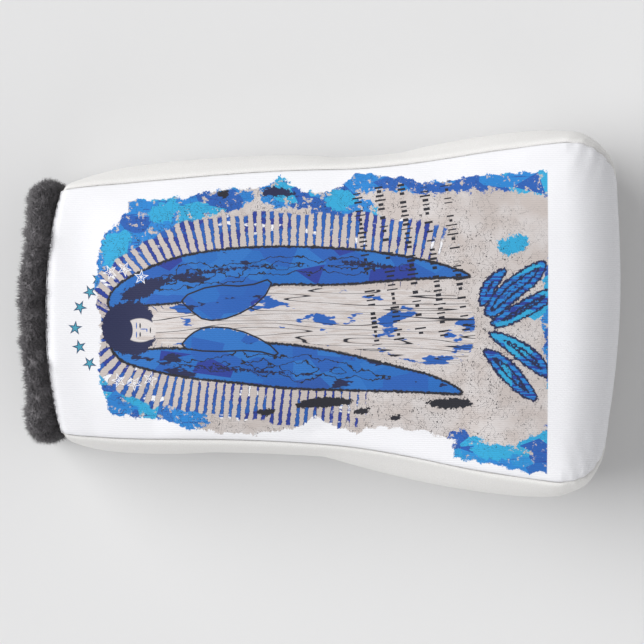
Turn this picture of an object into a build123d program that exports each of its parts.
"""Putter head cover: a padded sock of four sewn walls, lined with pile fleece.

It lies on its back wall, +Z up. +X runs from the open mouth to the closed end,
and the origin is at the middle of the underside. Sizes are millimetres.
"""
import os
from functools import cache
from math import cos, exp, radians, sin

from build123d import *

os.makedirs("parts", exist_ok=True)

# Overall sizes
length = 160.0  # fleece rim to closed end
mouth_half_width = 32.8  # side seam to middle, where the rim begins
seam_taper = 0.065  # growth of that half width per mm of length
flare = 3.9  # extra half width that the closed end gains
flare_length = 40.0
mouth_height = 43.0  # underside to crown of the front wall, at the mouth
end_height = 48.0  # the same, where the closed end begins to turn down
front_crown = 6.5  # rise of the front wall between its two side seams
gusset_bulge = 3.8  # how far a side gusset stands out past its seams
mouth_bulge = 0.6
bulge_fade = 5.8  # length over which the bulge grows from the mouth

# Closed end
end_turn = 14.0  # length over which the walls turn down to meet
corner_turn = 11.0  # the same across, at the two end corners
end_flat = 12.0  # height of the upright part of the end
end_bulge_share = 0.2  # how much of the bulge and of the crown is left at the end
end_crown_share = 0.1

# Wall layers
skin = 1.2
padding = 3.0
lining = 3.8
band_thickness = 1.2
label_thickness = 0.6
thread = 0.5
wall = skin + padding + lining
mitre_depth = wall + 1.0  # the walls part along a mitre this deep

# Mouth parts, measured from the rim's free edge
rim_length = 8.0
mouth_thread_setback = 1.0  # rim joint to the thread row that holds the rim
seam_thread_setback = 2.5  # rim joint to the first stitches of the side seams
band_setback = 6.0  # rim joint to the elastic band
band_width = 12.0
padding_gap = 2.0  # between the elastic band and the padding
label_gap = 6.0  # start of the padding to the care label
label_length = 18.0
mouth_thread_start = rim_length + mouth_thread_setback
seam_thread_start = rim_length + seam_thread_setback
band_start = rim_length + band_setback
padding_start = band_start + band_width + padding_gap
label_start = padding_start + label_gap
label_height = 12.0

# Clearances
moving_gap = 0.3  # between the front wall and the pieces it lifts away from
seam_fold = 0.15  # how far a wall's edge wraps round the corner at its seam
thread_inset = 0.9  # seam corner to the thread row

BEFORE_MOUTH = -2.0  # layers are drawn from here and then cut to length
END_ANGLES = (30.0, 60.0, 90.0)
PADDED_SHARES = (0.2, 0.44, 0.65, 0.76, 0.88)  # of the way from padding_start to the end's turn
padded_length = length - end_turn - padding_start
BODY_STATIONS = (BEFORE_MOUTH, rim_length, band_start, padding_start) + tuple(
    padding_start + padded_length * share for share in PADDED_SHARES
)
REACH = 60.0  # cutting shapes extend this far past the cover

rim_edge_x = -length / 2
turn_x = rim_edge_x + length - end_turn
middle_z = end_height / 2


def along(distance: float) -> float:
    """X of a point this far from the rim's free edge."""
    return rim_edge_x + distance


def smooth_step(value: float) -> float:
    """0 to 1 with flat ends."""
    value = min(max(value, 0.0), 1.0)
    return value * value * (3 - 2 * value)


def seam_half_width(distance: float) -> float:
    """Half width between the side seams."""
    flare_start = length - end_turn - flare_length
    widening = flare * smooth_step((distance - flare_start) / flare_length)
    return mouth_half_width + seam_taper * (distance - rim_length) + widening


def bulge(distance: float) -> float:
    """How far the gusset stands out past its seams."""
    grown = 1 - exp(-max(distance - rim_length, 0.0) / bulge_fade)
    return mouth_bulge + (gusset_bulge - mouth_bulge) * grown


def seam_height(distance: float) -> float:
    """Height of the seams of the front wall."""
    share = (distance - rim_length) / (length - end_turn - rim_length)
    return mouth_height + (end_height - mouth_height) * share - front_crown


def across(x: float) -> Plane:
    """Upright plane across the cover, with Y to the right and Z up."""
    return Plane(origin=(x, 0, 0), x_dir=(0, 1, 0), z_dir=(1, 0, 0))


def cover_section(x: float, half_width: float, side: float, low: float, high: float, crown: float):
    """One closed section: flat back, bulged sides and a crowned front."""
    middle = (low + high) / 2
    with BuildSketch(across(x)) as section:
        with BuildLine():
            Line((-half_width, low), (half_width, low))
            ThreePointArc((half_width, low), (half_width + side, middle), (half_width, high))
            ThreePointArc((half_width, high), (0, high + crown), (-half_width, high))
            ThreePointArc((-half_width, high), (-half_width - side, middle), (-half_width, low))
        make_face()
    return section.sketch


@cache
def envelope(inset: float) -> Part:
    """Solid of the cover's outline, moved inwards by inset."""
    sections = [
        cover_section(
            along(distance),
            seam_half_width(distance) - inset,
            bulge(distance),
            inset,
            seam_height(distance) - inset,
            front_crown,
        )
        for distance in BODY_STATIONS + (length - end_turn,)
    ]
    half_width = seam_half_width(length - end_turn)
    high = seam_height(length - end_turn)
    low_end = middle_z - end_flat / 2
    high_end = middle_z + end_flat / 2
    for angle in END_ANGLES:
        turned = sin(radians(angle))
        left = cos(radians(angle))
        sections.append(
            cover_section(
                turn_x + (end_turn - inset) * turned,
                half_width - inset - (corner_turn - inset) * (1 - left),
                bulge(length) * (end_bulge_share + (1 - end_bulge_share) * left),
                low_end - (low_end - inset) * left,
                high_end + (high - inset - high_end) * left,
                front_crown * max(left, end_crown_share),
            )
        )
    with BuildPart() as solid:
        loft(sections, ruled=True)
    return solid.part


def wall_section(plane: Plane, half_width: float, lift: float):
    """What lies past a wall's two seams and the mitre between them, in one plane."""
    with BuildSketch(plane) as section:
        with BuildLine():
            Polyline(
                (-REACH - half_width, lift),
                (-half_width, lift),
                (-half_width + mitre_depth, lift - mitre_depth),
                (half_width - mitre_depth, lift - mitre_depth),
                (half_width, lift),
                (REACH + half_width, lift),
                (REACH + half_width, REACH),
                (-REACH - half_width, REACH),
                close=True,
            )
        make_face()
    return section.sketch


def wall_region(front: bool, lift: float, end_lift: float) -> Part:
    """Region of the front or the back wall, which also turns down over the closed end.

    lift moves its border away from the seams, and end_lift away from mid height.
    """
    up = 1 if front else -1

    def plane_at(x: float, z: float, turned: float, left: float) -> Plane:
        out = (turned, 0, up * left)
        return Plane(origin=(x, 0, z), x_dir=(0, 1, 0), z_dir=Vector(0, 1, 0).cross(Vector(out)))

    sections = []
    for distance in BODY_STATIONS + (length - end_turn,):
        height = seam_height(distance) if front else 0.0
        upright = plane_at(along(distance), height, 0, 1)
        sections.append(wall_section(upright, seam_half_width(distance), lift))
    edge = middle_z + up * end_flat / 2
    for angle in END_ANGLES:
        turned = sin(radians(angle))
        left = cos(radians(angle))
        half_width = seam_half_width(length - end_turn) - corner_turn * (1 - left)
        turning = plane_at(turn_x + end_turn * turned, edge + (height - edge) * left, turned, left)
        sections.append(wall_section(turning, half_width, lift))
    level = plane_at(turn_x + end_turn, middle_z + up * end_lift, 1, 0)
    sections.append(wall_section(level, half_width, lift))
    with BuildPart() as region:
        loft(sections, ruled=True)
    return region.part


def ring(outer: float, inner: float, start: float, stop: float) -> Part:
    """One layer between two insets, from start to stop along the cover."""
    with BuildPart() as layer:
        add(envelope(outer))
        add(envelope(inner), mode=Mode.SUBTRACT)
        split(bisect_by=Plane.YZ.offset(along(start)), keep=Keep.TOP)
        if stop < length:
            split(bisect_by=Plane.YZ.offset(along(stop)), keep=Keep.BOTTOM)
    return layer.part


def clipped(layer: Part, keep=(), remove=()) -> Part:
    """What a layer has inside every region of keep and outside every one of remove."""
    with BuildPart() as piece:
        add(layer)
        for region in keep:
            add(region, mode=Mode.INTERSECT)
        for region in remove:
            add(region, mode=Mode.SUBTRACT)
    return piece.part


def sides(layer: Part, remove=()) -> dict[str, Part]:
    """The left (+Y) and right (-Y) gusset pieces of a layer."""
    halves = {}
    for side, keep in (("left", Keep.BOTTOM), ("right", Keep.TOP)):
        with BuildPart() as piece:
            add(layer)
            split(bisect_by=Plane.XZ.offset(0), keep=keep)
            for region in remove:
                add(region, mode=Mode.SUBTRACT)
        halves[side] = piece.part
    return halves


def write(name: str, piece: Part):
    """Label one finished piece and write it."""
    piece.label = name
    export_step(piece, f"parts/{name}.step")


# Regions that part the front wall, the back wall and the side gussets
front_region = wall_region(True, moving_gap / 2, moving_gap)
front_limit = wall_region(True, -moving_gap / 2, 0.0)
back_region = wall_region(False, -seam_fold, 0.0)

# Seam threads: one row beside each side seam, inside the skin of the gusset
thread_layer = ring(skin, skin + thread, seam_thread_start, length)
thread_rows = {}
for wall_name, is_front in (("front", True), ("back", False)):
    near = wall_region(is_front, -thread_inset, 0.0)
    far = wall_region(is_front, -thread_inset - thread, 0.0)
    for side, row in sides(clipped(thread_layer, keep=[far]), remove=[near]).items():
        thread_rows[f"{side}_{wall_name}_thread"] = row
for name, row in thread_rows.items():
    write(name, row)

# Row that closes the end seam, just below mid height inside the back wall's skin
with BuildPart() as end_strip:
    with Locations((turn_x, 0, middle_z - thread_inset)):
        Box(REACH, REACH * 4, thread, align=(Align.MIN, Align.CENTER, Align.MAX))
with BuildPart() as end_thread:
    add(thread_layer)
    add(end_strip.part, mode=Mode.INTERSECT)
    add(back_region, mode=Mode.INTERSECT)
write("end_thread", end_thread.part)

# Outer skin: two printed or plain walls and two side gussets
skin_layer = ring(0.0, skin, rim_length, length)
write("front_panel", clipped(skin_layer, keep=[front_region]))
write("back_panel", clipped(skin_layer, keep=[back_region]))
for side, piece in sides(skin_layer, remove=[front_limit, back_region]).items():
    write(f"{side}_gusset", piece)

# Padding, which starts behind the elastic band
padding_layer = ring(skin, skin + padding, padding_start, length)
write("front_padding", clipped(padding_layer, keep=[front_region]))
write("back_padding", clipped(padding_layer, keep=[back_region], remove=[end_thread.part]))
thread_solids = list(thread_rows.values())
for side, piece in sides(
    padding_layer, remove=[front_limit, back_region] + thread_solids
).items():
    write(f"{side}_padding", piece)

# Pile lining
lining_layer = ring(skin + padding, wall, rim_length, length)
write("front_lining", clipped(lining_layer, keep=[front_region]))
write("back_lining", clipped(lining_layer, keep=[back_region]))
for side, piece in sides(lining_layer, remove=[front_limit, back_region]).items():
    write(f"{side}_lining", piece)

# Fleece rim of the mouth
rim_layer = ring(0.0, wall, 0.0, rim_length)
write("front_rim", clipped(rim_layer, keep=[front_region]))
write("back_rim", clipped(rim_layer, remove=[front_limit]))

# Elastic band inside the mouth, between the skin and the lining
band_layer = ring(skin, skin + band_thickness, band_start, band_start + band_width)
write("front_elastic", clipped(band_layer, keep=[front_region]))
write("back_elastic", clipped(band_layer, remove=[front_limit] + thread_solids))

# Thread row that holds the rim to the skin
mouth_row = ring(skin, skin + thread, mouth_thread_start, mouth_thread_start + thread)
write("front_mouth_thread", clipped(mouth_row, keep=[front_region]))
write("back_mouth_thread", clipped(mouth_row, remove=[front_limit]))

# Care label, sewn flat to the lining of the left gusset
with BuildPart() as care_label:
    add(ring(wall, wall + label_thickness, label_start, label_start + label_length))
    with Locations((0, 0, middle_z)):
        Box(
            length,
            REACH,
            label_height,
            align=(Align.CENTER, Align.MIN, Align.CENTER),
            mode=Mode.INTERSECT,
        )
write("care_label", care_label.part)
